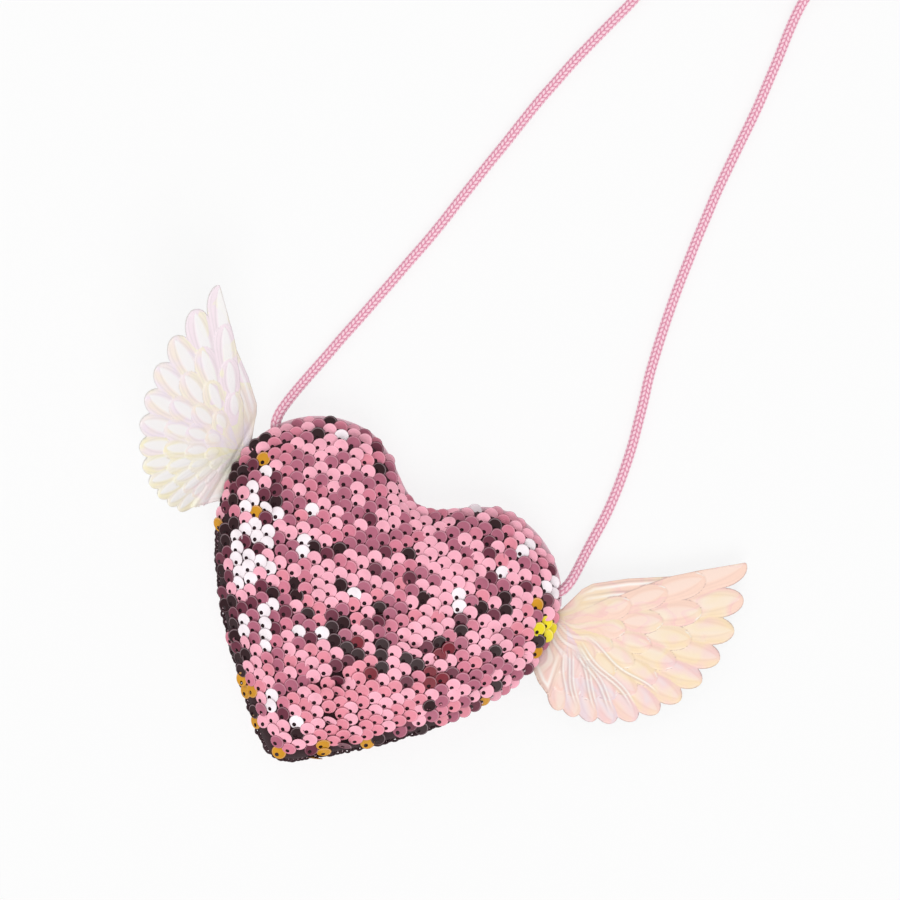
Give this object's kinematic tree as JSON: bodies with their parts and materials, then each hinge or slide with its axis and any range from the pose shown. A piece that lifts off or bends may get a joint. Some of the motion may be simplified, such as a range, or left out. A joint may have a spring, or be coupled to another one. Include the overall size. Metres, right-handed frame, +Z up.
{
  "type": "heart shaped purse",
  "caption": "Small heart shaped purse with a sequined padded front, a zip across its cloth back, an embossed wing sewn into each side and a braided neck cord.",
  "frame": {"origin": "on the surface that the purse's back rests on, under the middle of the heart", "axes": "+X across the lobes towards the right wing, +Y from the heart's point to its cleft, +Z up out of the sequined front"},
  "size_m": [0.206, 0.3538, 0.048],
  "materials": {
    "sequins": "glossy thin discs in mixed pinks",
    "base_cloth": "dark woven base cloth",
    "wadding": "soft fibre wadding",
    "lining": "smooth lining",
    "back_cloth": "soft matt cloth",
    "zip_tape": "woven tape",
    "zip_teeth": "moulded",
    "zip_metal": "plated",
    "wing_felt": "short felt",
    "wing_film": "pearly embossed film",
    "cord": "round braid",
    "cord_tie": "matt band"
  },
  "bodies": {
    "root": {"front_cloth": "base_cloth", "sequin_layer": "sequins", "front_wadding": "wadding", "front_lining": "lining", "back_cloth": "back_cloth", "back_lining": "lining", "seam_edge": "back_cloth", "zip_tape": "zip_tape", "zip_end_teeth": "zip_teeth", "zip_top_stops": "zip_metal", "zip_bottom_stop": "zip_metal", "wing_right_root": "wing_felt", "wing_left_root": "wing_felt", "cord_right": "cord", "cord_left": "cord", "cord_coil": "cord", "cord_tie": "cord_tie"},
    "lip_upper": {"zip_lip_upper": "zip_tape", "zip_teeth_upper": "zip_teeth"},
    "lip_lower": {"zip_lip_lower": "zip_tape", "zip_teeth_lower": "zip_teeth"},
    "slider": {"zip_slider": "zip_metal"},
    "pull": {"zip_pull": "zip_metal"},
    "wing_right": {"wing_right_felt": "wing_felt", "wing_right_film": "wing_film"},
    "wing_left": {"wing_left_felt": "wing_felt", "wing_left_film": "wing_film"}
  },
  "joints": [
    {"name": "zip_slide", "type": "slide", "parent": "root", "child": "slider", "axis": [-1, 0, 0], "range_m": [0, 0.0896]},
    {"name": "pull_swing", "type": "hinge", "parent": "slider", "child": "pull", "pos_m": [0.0448, 0.017, 0.0029], "axis": [0, -1, 0], "range_deg": [0, 170]},
    {"name": "lip_upper_fold", "type": "hinge", "parent": "root", "child": "lip_upper", "pos_m": [0, 0.0226, 0.0058], "axis": [-1, 0, 0], "range_deg": [0, 70], "stiffness_Nm_per_rad": 0.0001},
    {"name": "lip_lower_fold", "type": "hinge", "parent": "root", "child": "lip_lower", "pos_m": [0, 0.0114, 0.0058], "axis": [1, 0, 0], "range_deg": [0, 70], "stiffness_Nm_per_rad": 0.0001},
    {"name": "wing_right_flap", "type": "hinge", "parent": "root", "child": "wing_right", "pos_m": [0.0614, 0.018, 0.008], "axis": [0.0872, -0.9962, 0], "range_deg": [-40, 90], "stiffness_Nm_per_rad": 0.02},
    {"name": "wing_left_flap", "type": "hinge", "parent": "root", "child": "wing_left", "pos_m": [-0.0614, 0.014, 0.008], "axis": [0, 1, 0], "range_deg": [-90, 40], "stiffness_Nm_per_rad": 0.02}
  ]
}
